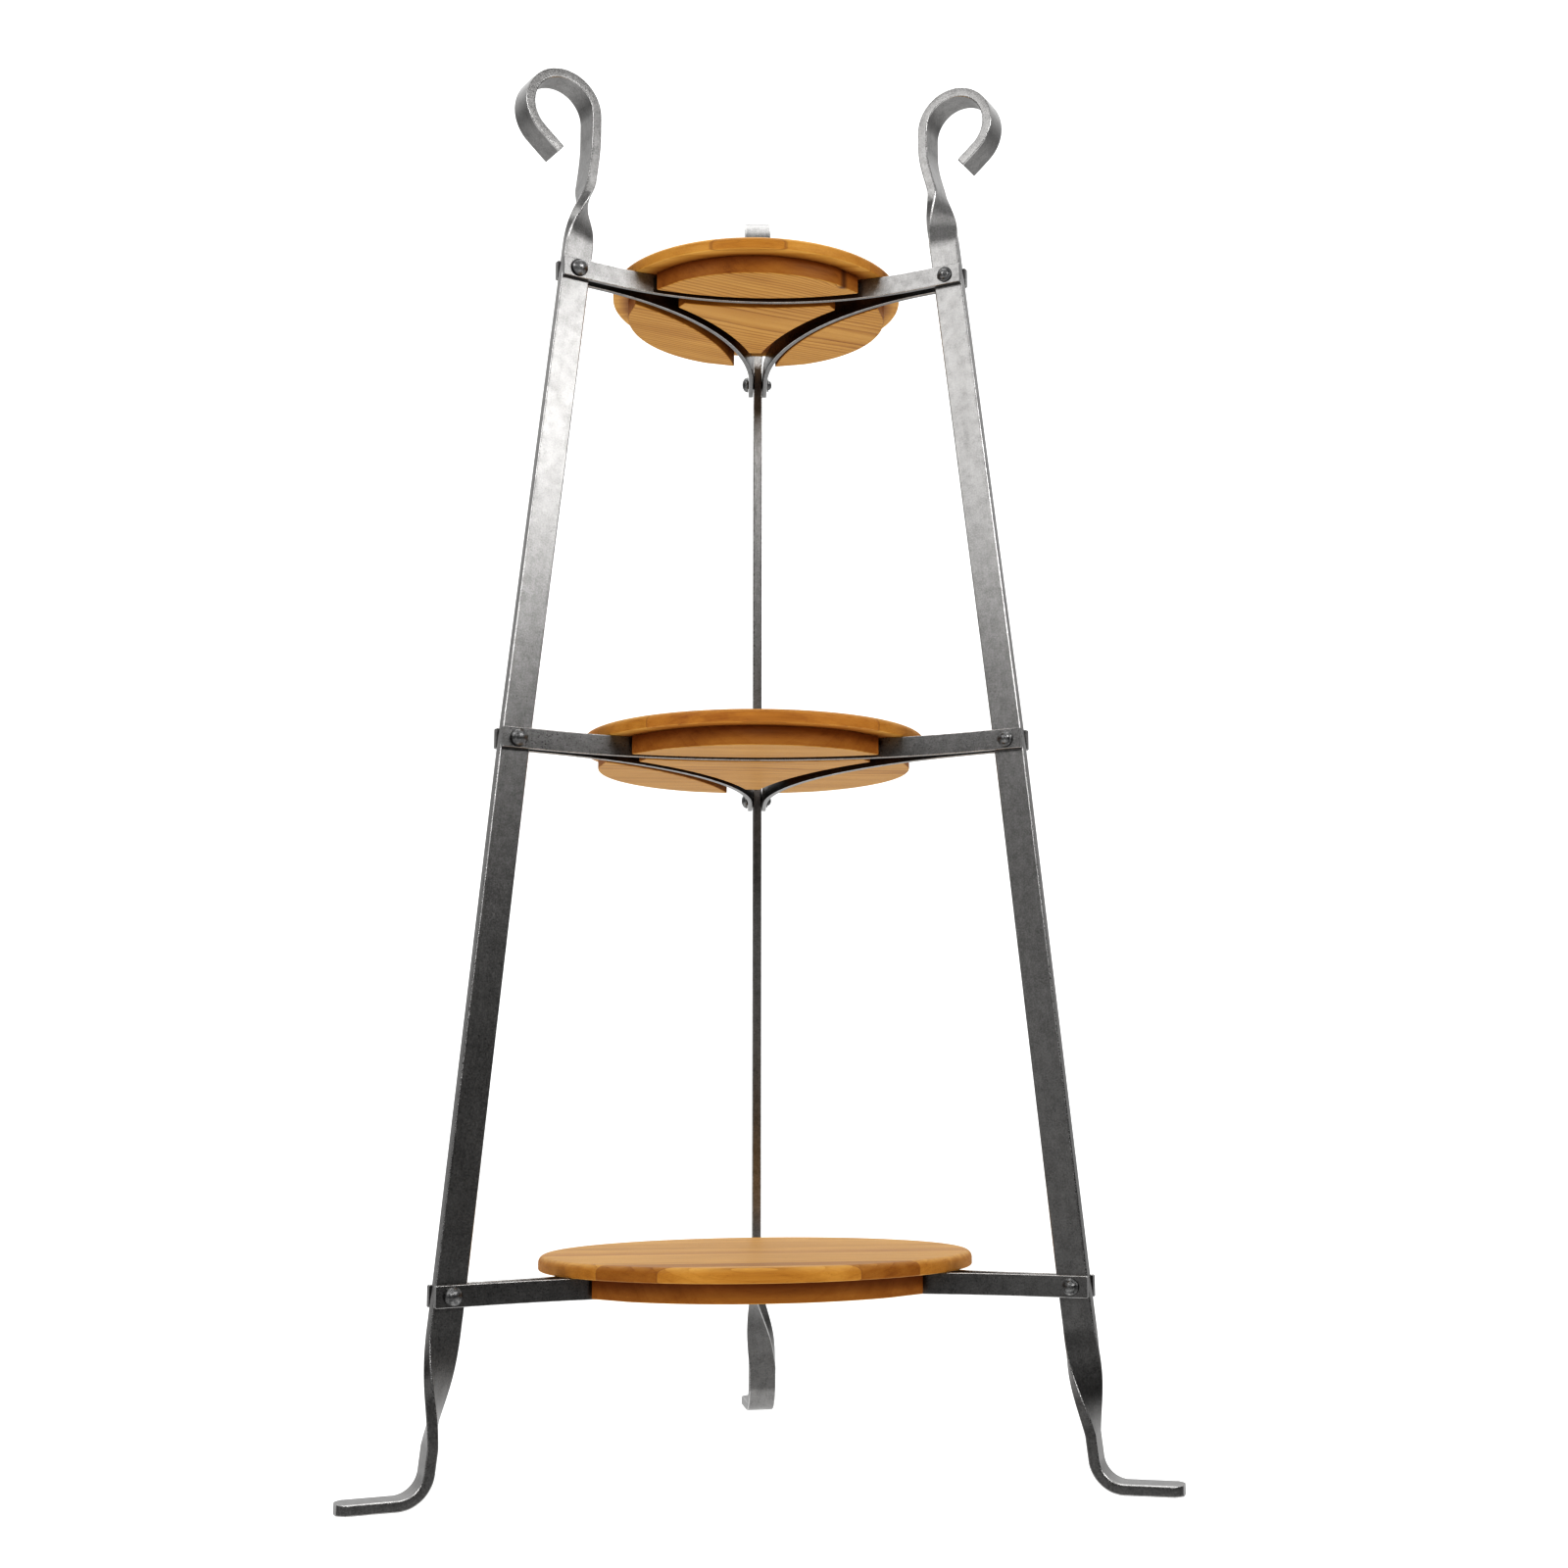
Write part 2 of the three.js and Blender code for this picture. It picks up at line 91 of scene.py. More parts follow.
# each leg's scroll (centre radius, centre height, radius, straight end), foot turn and foot swing
SCROLLS = {
    "back": (151.5, 848.3, 22.2, 14),
    "front_left": (151.5, 848.1, 23.2, 17),
    "front_right": (147.9, 843.1, 22.7, 14),
}
TOE_TURN = {"back": 6, "front_left": -10, "front_right": 10}
FOOT_SWING = {"back": -4, "front_left": 0, "front_right": 0}
LEG_EDGE, STRAP_EDGE = 0.95, 0.5  # rounding of their long edges
RIVET_SHANK_RADIUS, HEAD_RADIUS, HEAD_HEIGHT = 3.0, 5.5, 4.3
FLANGE_RADIUS, FLANGE_HEIGHT, PEEN_RADIUS, PEEN_HEIGHT = 5.0, 0.8, 3.7, 2.6
BOARD_THICKNESS, BOARD_ROUND, BOARD_EASE = 8.8, 4.2, 1.2
STRAP_CLEARANCE, CORE_CLEARANCE, END_CUT_INSET, BLOCK_RAISE, BLOCK_EASE = 4.8, 8.0, 1.0, 0.7, 0.8


def rad(a):
    return math.radians(a)


def radial(a):
    return Vector((math.cos(rad(a)), math.sin(rad(a)), 0))


def lateral(a):
    return Vector((-math.sin(rad(a)), math.cos(rad(a)), 0))


# ------------------------------------------------------------------ mesh building
def new_object(name, verts, faces, uvs=None):
    """Mesh object from points in mm round the stand's axis; uvs are per face corner, in metres."""
    mesh = bpy.data.meshes.new(name)
    mesh.from_pydata([(x * MM, (y + AXIS_Y) * MM, z * MM) for x, y, z in verts], [], faces)
    if uvs:
        layer = mesh.uv_layers.new(name="UVMap")
        flat = [c for face in uvs for uv in face for c in uv]
        layer.data.foreach_set("uv", flat)
    mesh.validate()
    mesh.update()
    mesh.shade_smooth()
    obj = bpy.data.objects.new(name, mesh)
    bpy.context.scene.collection.objects.link(obj)
    return obj


def weighted(obj, angle=40):
    mod = obj.modifiers.new("normals", "WEIGHTED_NORMAL")
    mod.weight = 80
    mod.keep_sharp = True
    obj.data.set_sharp_from_angle(angle=rad(angle))


def rounded_section(width, thickness, corner, steps):
    """Points (across width, across thickness) round a bar with rounded corners."""
    w, t = width / 2 - corner, thickness / 2 - corner
    points = []
    for quarter, (cw, ct) in enumerate(((w, t), (-w, t), (-w, -t), (w, -t))):
        for i in range(steps + 1):
            a = math.pi / 2 * (quarter + i / steps)
            points.append((cw + corner * math.cos(a), ct + corner * math.sin(a)))
    return points


def sweep_bar(name, stations, corner, seed, steps=3):
    """stations: (centre, width direction, thickness direction, width, thickness).

    The mesh gets lengths along and round the bar as its UVs, and says in the point attribute "edge" how
    far each point is round a corner, for the polish and the painted highlight that edges get.
    """
    verts, lengths, rounds = [], [0.0], None
    for i, (at, wide, thick, width, thickness) in enumerate(stations):
        section = rounded_section(width, thickness, corner, steps)
        verts += [at + wide * a + thick * b for a, b in section]
        if i:
            lengths.append(lengths[-1] + (at - stations[i - 1][0]).length)
        if rounds is None:
            rounds = [0.0]
            for k in range(len(section)):
                p, q = section[k], section[(k + 1) % len(section)]
                rounds.append(rounds[-1] + math.dist(p, q))
    n = len(section)
    faces, uvs = [], []
    for i in range(len(stations) - 1):
        for k in range(n):
            a, b = i * n + k, i * n + (k + 1) % n
            faces.append((a, b, b + n, a + n))
            u0, u1 = lengths[i] * MM + seed, lengths[i + 1] * MM + seed
            v0, v1 = rounds[k] * MM + seed, rounds[k + 1] * MM + seed
            uvs.append(((u0, v0), (u0, v1), (u1, v1), (u1, v0)))
    last = (len(stations) - 1) * n
    for face in (tuple(range(n))[::-1], tuple(range(last, last + n))):
        faces.append(face)
        uvs.append([(section[k % n][0] * MM + seed, section[k % n][1] * MM + seed) for k in face])
    volume = sum(
        verts[f[0]].dot(verts[f[i]].cross(verts[f[i + 1]])) for f in faces for i in range(1, len(f) - 1)
    )
    if volume < 0:
        faces = [f[::-1] for f in faces]
        uvs = [u[::-1] for u in uvs]
    obj = new_object(name, verts, faces, uvs)
    edge = obj.data.attributes.new("edge", "FLOAT", "POINT")
    per_corner = [math.sin(math.pi * i / steps) ** 0.7 if 0 < i < steps else 0.25 for i in range(steps + 1)]
    edge.data.foreach_set("value", [per_corner[k % (steps + 1)] for _ in stations for k in range(n)])
    weighted(obj)
    return obj


def lathe(name, profile, segments, place, wobble=None):
    """profile: (radius, height) from axis to axis; place maps (x, y, height) to a point in mm."""
    verts, rings = [], []
    for r, h in profile:
        if r < 1e-6:
            rings.append([len(verts)])
            verts.append(place(0, 0, h))
            continue
        ring = []
        for k in range(segments):
            a = 2 * math.pi * k / segments
            rr = r * (1 + (wobble(a, h) if wobble else 0))
            ring.append(len(verts))
            verts.append(place(rr * math.cos(a), rr * math.sin(a), h))
        rings.append(ring)
    faces = []
    for lower, upper in zip(rings, rings[1:]):
        for k in range(segments):
            j = (k + 1) % segments
            if len(lower) == 1:
                faces.append((lower[0], upper[j], upper[k]))
            elif len(upper) == 1:
                faces.append((lower[k], lower[j], upper[0]))
            else:
                faces.append((lower[k], lower[j], upper[j], upper[k]))
    return new_object(name, verts, faces)


# ------------------------------------------------------------------ legs
def quarter_turn(t):
    u = min(1, max(0, t))
    return 0.65 * u + 0.35 * (1 - math.cos(math.pi * u)) / 2


def turned(z, twist):
    """How much of a quarter twist lies below a height."""
    return quarter_turn((z - twist[0]) / (twist[1] - twist[0]))


SOLE = LEG_THICKNESS / 2
LEAN = math.atan2(HEEL_TOP[0] - LEVELS["bottom"]["leg"], LEVELS["bottom"]["z"] - HEEL_TOP[1])
CORNER = HEEL_TOP[0] + (HEEL_TOP[1] - SOLE) * math.tan(LEAN)


def leg_line(scroll):
    """(radius, height, twist, width) along a leg, from its toe to the end of its scroll."""
    scroll_r, scroll_z, scroll_radius, tail = scroll
    turn = math.pi / 2 - LEAN
    centre = (CORNER + HEEL_BEND * math.tan(turn / 2), SOLE + HEEL_BEND)
    line = []
    for back, cut in TOE_CORNERS:
        line.append((TOE_END - back, SOLE, 1, LEG_WIDTH - cut * TOE_CLIP))
    line.append(((TOE_END + centre[0]) / 2, SOLE, 1, LEG_WIDTH))
    for i in range(25):
        a = -math.pi / 2 - turn * i / 24
        r, z = centre[0] + HEEL_BEND * math.cos(a), centre[1] + HEEL_BEND * math.sin(a)
        line.append((r, z, 1, LEG_WIDTH))
    knots = [(CORNER, SOLE)] + [(LEVELS[n]["leg"], LEVELS[n]["z"]) for n in ("bottom", "middle", "top")]

    def shank(z):
        i = 0
        while i + 2 < len(knots) and z > knots[i + 1][1]:
            i += 1
        (r0, z0), (r1, z1) = knots[i], knots[i + 1]
        return r0 + (r1 - r0) * (z - z0) / (z1 - z0)

    heights = [TWIST_LOW[0] + (TWIST_LOW[1] - TWIST_LOW[0]) * i / 36 for i in range(37)]
    heights += [100, LEVELS["bottom"]["z"], 180, 260, 340, 425, 431, LEVELS["middle"]["z"], 444, 450]
    heights += [520, 600, 680, LEVELS["top"]["z"], 754]
    heights += [TWIST_HIGH[0] + (SHANK_TOP - TWIST_HIGH[0]) * i / 28 for i in range(29)]
    for z in heights:
        line.append((shank(z), z, max(1 - turned(z, TWIST_LOW), turned(z, TWIST_HIGH)), LEG_WIDTH))
    start = (scroll_r - scroll_radius, scroll_z - SCROLL_LEAD)
    slope = (shank(SHANK_TOP) - shank(SHANK_TOP - 6)) / 6
    rise = start[1] - SHANK_TOP
    for i in range(1, 13):
        t = i / 12
        h00 = 2 * t**3 - 3 * t**2 + 1
        h10 = t**3 - 2 * t**2 + t
        z = SHANK_TOP + rise * t
        r = h00 * shank(SHANK_TOP) + h10 * rise * slope + (1 - h00) * start[0]
        line.append((r, z, turned(z, TWIST_HIGH), LEG_WIDTH))
    for i in range(73):
        a = rad(180 + (SCROLL_END - 180) * i / 72)
        r, z = scroll_r + scroll_radius * math.cos(a), scroll_z + scroll_radius * math.sin(a)
        line.append((r, z, 1, LEG_WIDTH))
    end_r, end_z = line[-1][:2]
    out = rad(SCROLL_END)
    for s in (4, 9, tail - 0.6, tail):
        width = LEG_WIDTH - (1.0 if s == tail else 0)
        line.append((end_r + s * math.sin(out), end_z - s * math.cos(out), 1, width))
    return line


def make_leg(name, leg, seed):
    u, t = radial(LEGS[leg]), lateral(LEGS[leg])
    line = leg_line(SCROLLS[leg])
    stations = []
    for i, (r, z, twist, width) in enumerate(line):
        before, after = line[max(0, i - 1)], line[min(len(line) - 1, i + 1)]
        back = Vector((r - before[0], z - before[1]))
        ahead = Vector((after[0] - r, after[1] - z))
        along = (back.normalized() if back.length else Vector((0, 0))) + (
            ahead.normalized() if ahead.length else Vector((0, 0)))
        along.normalize()
        outward = u * along.y - UP * along.x
        a = twist * math.pi / 2
        wide = outward * math.cos(a) + t * math.sin(a)
        thick = t * math.cos(a) - outward * math.sin(a)
        foot = twist if z < TWIST_LOW[1] else 0
        turn = Matrix.Rotation(rad(TOE_TURN[leg] * foot), 3, "Z")
        at = u * CORNER + turn @ (u * (r - CORNER)) + t * FOOT_SWING[leg] * foot + UP * z
        stations.append((at, turn @ wide, turn @ thick, width, LEG_THICKNESS))
    return sweep_bar(name, stations, LEG_EDGE, seed)


# ------------------------------------------------------------------ straps
SIDE = LEG_THICKNESS / 2 + GAP + STRAP_THICKNESS / 2
STRAP_STRAIGHT, STRAP_PROUD = 11, 0.6


def strap_plan(level):
    """Radius of a strap's arc, how far out its centre is, and how far out the strap's ends are."""
    vertex = SIDE / math.sin(rad(60))
    tangent = level["leg"] - LEG_WIDTH / 2 - STRAP_STRAIGHT
    radius = (tangent - vertex * math.cos(rad(60))) * math.tan(rad(60))
    centre = vertex + radius / math.sin(rad(60))
    return radius, centre, level["leg"] + LEG_WIDTH / 2 + STRAP_PROUD


def make_strap(name, level, start, seed):
    """Strap from the leg at azimuth start to the next one: straight ends with an arc between them."""
    radius, centre_at, end = strap_plan(level)
    bisector, to = start + 60, start + 120
    z = UP * level["z"]
    plan = []
    straight = (0, 0.5, 3, LEG_WIDTH / 2 + 1, LEG_WIDTH + 4)
    for back in straight:
        plan.append((radial(start) * (end - back) + lateral(start) * SIDE, lateral(start)))
    centre = radial(bisector) * centre_at
    for i in range(49):
        normal = radial(bisector + 30 - 60 * i / 48)
        plan.append((centre - normal * radius, normal))
    for back in reversed(straight):
        plan.append((radial(to) * (end - back) - lateral(to) * SIDE, -lateral(to)))
    stations = []
    for i, (at, normal) in enumerate(plan):
        height = STRAP_HEIGHT - (0.9 if i in (0, len(plan) - 1) else 0)
        stations.append((at + z, UP, normal, height, STRAP_THICKNESS))
    return sweep_bar(name, stations, STRAP_EDGE, seed)


# ------------------------------------------------------------------ rivets
def make_rivet(name, level, azimuth, seed):
    seat = LEG_THICKNESS / 2 + 2 * GAP + STRAP_THICKNESS
    u, t = radial(azimuth), lateral(azimuth)
    at = u * level["leg"] + UP * level["z"]
    profile = [(0, -seat - FLANGE_HEIGHT - PEEN_HEIGHT)]
    for i in range(1, 11):
        a = rad(84) * i / 10
        profile.append((PEEN_RADIUS * math.sin(a), -seat - FLANGE_HEIGHT - PEEN_HEIGHT * math.cos(a)))
    for cut, lift in ((0.35, 0), (0.1, 0.12), (0, 0.35)):
        profile.append((FLANGE_RADIUS - cut, -seat - FLANGE_HEIGHT + lift))
    profile += [(FLANGE_RADIUS, -seat), (RIVET_SHANK_RADIUS, -seat), (RIVET_SHANK_RADIUS, seat)]
    profile += [(HEAD_RADIUS - 0.25, seat), (HEAD_RADIUS - 0.06, seat + 0.18)]
    for i in range(16):
        a = rad(90) * i / 16
        profile.append((HEAD_RADIUS * math.cos(a), seat + 0.4 + (HEAD_HEIGHT - 0.4) * math.sin(a)))
    profile.append((0, seat + HEAD_HEIGHT))

    def place(x, y, h):
        return at + u * x + UP * y + t * h

    def hammered(a, h):  # the closed end is a little out of round
        if h > -seat:
            return 0.0
        return 0.02 * math.sin(3 * a + seed * 5) + 0.015 * math.sin(5 * a + seed * 11) - 0.02

    obj = lathe(name, profile, 48, place, hammered)
    obj.data.set_sharp_from_angle(angle=rad(50))
    return obj


# ------------------------------------------------------------------ boards and their blocks
def make_board(name, level):
    dx, dy = level["shift"]
    base = level["z"] + STRAP_HEIGHT / 2 + GAP / 3
    radius = level["board"]
    profile = [(0, 0), (radius * 0.5, 0), (radius - 6, 0)]
    for i in range(5):
        a = rad(90) * i / 4
        ease_r, ease_z = BOARD_EASE * math.sin(a), BOARD_EASE * math.cos(a)
        profile.append((radius - BOARD_EASE + ease_r, BOARD_EASE - ease_z))
    for i in range(11):
        a = rad(90) * i / 10
        profile.append((
            radius - BOARD_ROUND + BOARD_ROUND * math.cos(a),
            BOARD_THICKNESS - BOARD_ROUND + BOARD_ROUND * math.sin(a),
        ))
    profile += [(radius - 7, BOARD_THICKNESS), (radius * 0.5, BOARD_THICKNESS), (0, BOARD_THICKNESS)]

    def place(x, y, h):
        return Vector((x + dx, y + dy, base + h))

    obj = lathe(name, profile, 192, place)
    weighted(obj, 60)
    return obj


def core_outline(level):
    """Plan of the three-pointed block that sits between the straps."""
    radius, centre_at, _ = strap_plan(level)
    reach = radius + STRAP_THICKNESS / 2 + CORE_CLEARANCE
    outline = []
    for azimuth in LEGS.values():
        bisector = azimuth + 60
        centre = radial(bisector) * centre_at
        across = centre_at * math.cos(rad(60)) - level["tip"]
        half = rad(30) - math.asin(across / reach)
        for i in range(33):
            a = rad(bisector) + half - 2 * half * i / 32
            outline.append((centre.x - reach * math.cos(a), centre.y - reach * math.sin(a)))
    return outline


def segment_outline(level, azimuth):
    """Plan of the crescent outside one strap: an arc beside the strap, an arc under the board, cut ends."""
    radius, centre_at, _ = strap_plan(level)
    inner = radius - STRAP_THICKNESS / 2 - STRAP_CLEARANCE
    outer = level["board"] - LIP
    total = (outer - END_CUT_INSET) * math.sqrt(2)
    root = math.sqrt(2 * outer**2 - total**2)
    out_corner = math.atan2((total - root) / 2, (total + root) / 2)
    k = centre_at - total
    in_corner = math.asin((-k + math.sqrt(2 * inner**2 - k**2)) / 2 / inner)
    local = []
    for i in range(33):
        a = in_corner - 2 * in_corner * i / 32
        local.append((centre_at - inner * math.cos(a), inner * math.sin(a)))
    for i in range(33):
        a = -out_corner + 2 * out_corner * i / 32
        local.append((outer * math.cos(a), outer * math.sin(a)))
    c, s = math.cos(rad(azimuth)), math.sin(rad(azimuth))
    return [(x * c - y * s, x * s + y * c) for x, y in local]


def make_block(name, level, outline):
    dx, dy = level["shift"]
    bottom = level["z"] - STRAP_HEIGHT / 2 + BLOCK_RAISE
    top = level["z"] + STRAP_HEIGHT / 2
    n = len(outline)
    pairs = zip(outline, outline[1:] + outline[:1])
    area = sum(p[0] * q[1] - q[0] * p[1] for p, q in pairs)
    if area < 0:
        outline = outline[::-1]
    verts = [(x + dx, y + dy, bottom) for x, y in outline] + [(x + dx, y + dy, top) for x, y in outline]
    faces = [tuple(range(n))[::-1], tuple(range(n, 2 * n))]
    faces += [(i, (i + 1) % n, (i + 1) % n + n, i + n) for i in range(n)]
    obj = new_object(name, verts, faces)
    obj.data.set_sharp_from_angle(angle=rad(35))
    bevel = obj.modifiers.new("eased edges", "BEVEL")
    bevel.width = BLOCK_EASE * MM
    bevel.segments = 3
    bevel.limit_method = "ANGLE"
    bevel.angle_limit = rad(35)
    bevel.harden_normals = True
    return obj


# ------------------------------------------------------------------ node materials
class Nodes:
    """Short way to write a node tree: every call makes one node and returns an output."""

    def __init__(self, name):
        self.material = bpy.data.materials.new(name)
        self.material.use_nodes = True
        self.tree = self.material.node_tree
        self.tree.nodes.clear()
        self.out = self.tree.nodes.new("ShaderNodeOutputMaterial")
        self.shader = self.tree.nodes.new("ShaderNodeBsdfPrincipled")
        self.tree.links.new(self.shader.outputs[0], self.out.inputs[0])

    def feed(self, socket, value):
        if isinstance(value, bpy.types.NodeSocket):
            self.tree.links.new(value, socket)
        elif value is not None:
            socket.default_value = value

    def set(self, name, value):
        self.feed(self.shader.inputs[name], value)

    def node(self, kind, inputs=None, output=0, **settings):
        n = self.tree.nodes.new(kind)
        for key, value in settings.items():
            setattr(n, key, value)
        for key, value in (inputs or {}).items():
            self.feed(n.inputs[key], value)
        return n.outputs[output]

    def math(self, operation, a, b=None, c=None):
        n = self.tree.nodes.new("ShaderNodeMath")
        n.operation = operation
        for socket, value in zip(n.inputs, (a, b, c)):
            self.feed(socket, value)
        return n.outputs[0]

    def mul(self, a, b):
        return self.math("MULTIPLY", a, b)

    def add(self, a, b):
        return self.math("ADD", a, b)

    def sub(self, a, b):
        return self.math("SUBTRACT", a, b)

    def scaled(self, x, y, z, scales):
        """A place stretched by its own factor along each axis."""
        return self.join(*(self.mul(value, scale) for value, scale in zip((x, y, z), scales)))

    def darken(self, factor, colour, by):
        return self.mix(factor, colour, self.mix(1.0, colour, by, "MULTIPLY"))

    def vmath(self, operation, a, b=None):
        n = self.tree.nodes.new("ShaderNodeVectorMath")
        n.operation = operation
        for socket, value in zip(n.inputs, (a, b)):
            self.feed(socket, value)
        return n.outputs["Vector"]

    def split(self, vector):
        n = self.tree.nodes.new("ShaderNodeSeparateXYZ")
        self.feed(n.inputs[0], vector)
        return n.outputs[0], n.outputs[1], n.outputs[2]

    def join(self, x, y, z):
        return self.node("ShaderNodeCombineXYZ", {0: x, 1: y, 2: z})

    def noise(self, vector, scale, detail=2.0, rough=0.5, distortion=0.0):
        inputs = {"Vector": vector, "Scale": scale, "Detail": detail}
        inputs.update({"Roughness": rough, "Distortion": distortion})
        return self.node("ShaderNodeTexNoise", inputs)

    def remap(self, value, low, high, out_low=0.0, out_high=1.0):
        n = self.tree.nodes.new("ShaderNodeMapRange")
        for key, v in enumerate((value, low, high, out_low, out_high)):
            self.feed(n.inputs[key], v)
        return n.outputs[0]

    def mix(self, factor, a, b, blend="MIX"):
        n = self.tree.nodes.new("ShaderNodeMix")
        n.data_type = "RGBA"
        n.blend_type = blend
        self.feed(n.inputs["Factor"], factor)
        self.feed(n.inputs["A"], a)
        self.feed(n.inputs["B"], b)
        return n.outputs["Result"]

    def ramp(self, value, stops):
        n = self.tree.nodes.new("ShaderNodeValToRGB")
        self.feed(n.inputs[0], value)
        elements = n.color_ramp.elements
        while len(elements) < len(stops):
            elements.new(0.5)
        for element, (position, colour) in zip(elements, stops):
            element.position = position
            element.color = colour
        return n.outputs[0]

    def bump(self, height, strength, distance):
        return self.node("ShaderNodeBump", {"Height": height, "Strength": strength, "Distance": distance})


def grey(v, warm=0.0):
    return (v * (1 + warm), v, v * (1 - warm), 1)


def shade(colour, tint):
    return tuple(channel * tint for channel in colour) + (1,)


STEEL_WARMTH, RUBBED_AND_HIGHLIT_STEEL, INNER_SHADE_BLACK = 0.02, 0.58, 0.004


def steel_material(name, dark, light, roughness, seed, painted_inner_shade=False):
    """Raw flat bar under clear coat: fine mottling, draw lines along the bar, pits, edges rubbed bright and
    partly a painted highlight, and optionally painted shade on the faces turned to the stand's axis.
    """
    m = Nodes(name)
    uv = m.node("ShaderNodeTexCoord", output=2)
    obj = m.node("ShaderNodeTexCoord", output=3)
    u, v, _ = m.split(uv)
    lines = m.noise(m.join(m.mul(u, 14.0), m.mul(v, 2200.0), seed), 1.0, 3.0, 0.6)
    streaks = m.noise(m.join(m.mul(u, 40.0), m.mul(v, 420.0), seed + 3), 1.0, 3.0, 0.55)
    shifted = m.vmath("ADD", obj, (seed, seed * 0.37, 0.0))
    grain = m.noise(shifted, 1050.0, 3.0, 0.65)
    specks = m.noise(shifted, 1500.0, 2.0, 0.6)
    clouds = m.noise(shifted, 34.0, 4.0, 0.6, 0.3)
    tone = m.add(m.mul(grain, 0.64), m.mul(clouds, 0.08))
    tone = m.add(tone, m.mul(lines, 0.14))
    tone = m.add(tone, m.mul(streaks, 0.14))
    tone = m.remap(tone, 0.36, 0.64)
    stops = ((0.0, dark), (0.55, (dark + light) / 2), (1.0, light))
    colour = m.ramp(tone, [(at, grey(value, STEEL_WARMTH)) for at, value in stops])
    pits = m.remap(specks, 0.62, 0.74)
    colour = m.mix(m.mul(pits, 0.45), colour, grey(dark * 0.45, 0.03))
    if painted_inner_shade:
        # painted shade: the faces turned to the stand's axis are darkened nearly to black, as if shadowed
        # by the boards
        from_axis = m.vmath("MULTIPLY", m.vmath("SUBTRACT", obj, (0, AXIS_Y * MM, 0)), (1, 1, 0))
        outward = m.vmath("NORMALIZE", from_axis)
        normal = m.node("ShaderNodeNewGeometry", output=1)
        facing = m.node("ShaderNodeVectorMath", {0: outward, 1: normal}, output=1, operation="DOT_PRODUCT")
        colour = m.mix(m.remap(facing, -0.1, -0.45, 0.0, 0.93), colour, grey(INNER_SHADE_BLACK, STEEL_WARMTH))
    # edges: lighter base colour on the rounded corners, partly polish from wear and partly a painted
    # highlight
    edge = m.node("ShaderNodeAttribute", output=2, attribute_name="edge")
    rub = m.remap(m.noise(shifted, 160.0, 3.0, 0.6), 0.34, 0.6)
    wear_and_highlight = m.mul(edge, m.add(0.6, m.mul(rub, 0.4)))
    colour = m.mix(wear_and_highlight, colour, grey(RUBBED_AND_HIGHLIT_STEEL, 0.01))
    m.set("Base Color", colour)
    m.set("Metallic", 1.0)
    rough = m.add(m.mul(clouds, 0.05), m.mul(grain, 0.25))
    rough = m.sub(rough, m.mul(wear_and_highlight, 0.1))
    m.set("Roughness", m.add(rough, roughness - 0.15))
    height = m.add(m.mul(lines, 0.35), m.mul(grain, 1.0))
    m.set("Normal", m.bump(height, 0.35, 0.00012))
    m.shader.inputs["Coat Weight"].default_value = 0.25
    m.shader.inputs["Coat Roughness"].default_value = 0.16
    return m.material


def rivet_material(name):
    """Dark heat-scaled steel with a slight shine."""
    m = Nodes(name)
    obj = m.node("ShaderNodeTexCoord", output=3)
    grain = m.noise(obj, 900.0, 4.0, 0.6)
    clouds = m.noise(obj, 240.0, 3.0, 0.6)
    tone = m.remap(m.add(m.mul(grain, 0.5), m.mul(clouds, 0.5)), 0.36, 0.64)
    m.set("Base Color", m.ramp(tone, [(0.0, grey(0.09)), (0.6, grey(0.2)), (1.0, grey(0.36, 0.01))]))
    m.set("Metallic", 1.0)
    m.set("Roughness", m.remap(tone, 0.0, 1.0, 0.42, 0.27))
    m.set("Normal", m.bump(grain, 0.5, 0.00016))
    return m.material


RINGS_PER_METRE = 330.0
PITH_DEPTH, PITH_SPREAD, PITH_REACH = 0.012, 0.05, 0.07  # how far the rings' centre is from a stave
FRESH_LIGHT, FRESH_MID, FRESH_DEEP = (0.64, 0.375, 0.105), (0.51, 0.268, 0.058), (0.27, 0.108, 0.019)
RED_STAVE, END_GRAIN = (0.50, 0.20, 0.07), (0.50, 0.225, 0.06)
PORE, GLUE, KNOT = (0.22, 0.085, 0.025, 1), (0.20, 0.075, 0.022, 1), (0.09, 0.03, 0.012, 1)
BLOTCH, DARK_STAVE_TINT = (0.72, 0.66, 0.60, 1), (0.62, 0.5, 0.42, 1)
BOARD_SIDE_SHADE, BLOCK_SIDE_SHADE = (0.88, 0.78, 0.58, 1), (0.66, 0.50, 0.34, 1)
BLOCK_SHADOW_TINT, UNDERSIDE_SHADOW_TINT = (0.36, 0.13, 0.07, 1), (0.42, 0.22, 0.14, 1)


def knot_distance(m, x, y, knot, stretch):
    """Distance to a knot, drawn out along the grain."""
    dx = m.sub(x, knot[0])
    dy = m.sub(y, knot[1])
    return m.math("SQRT", m.add(m.mul(dx, m.mul(dx, stretch)), m.mul(dy, dy)))


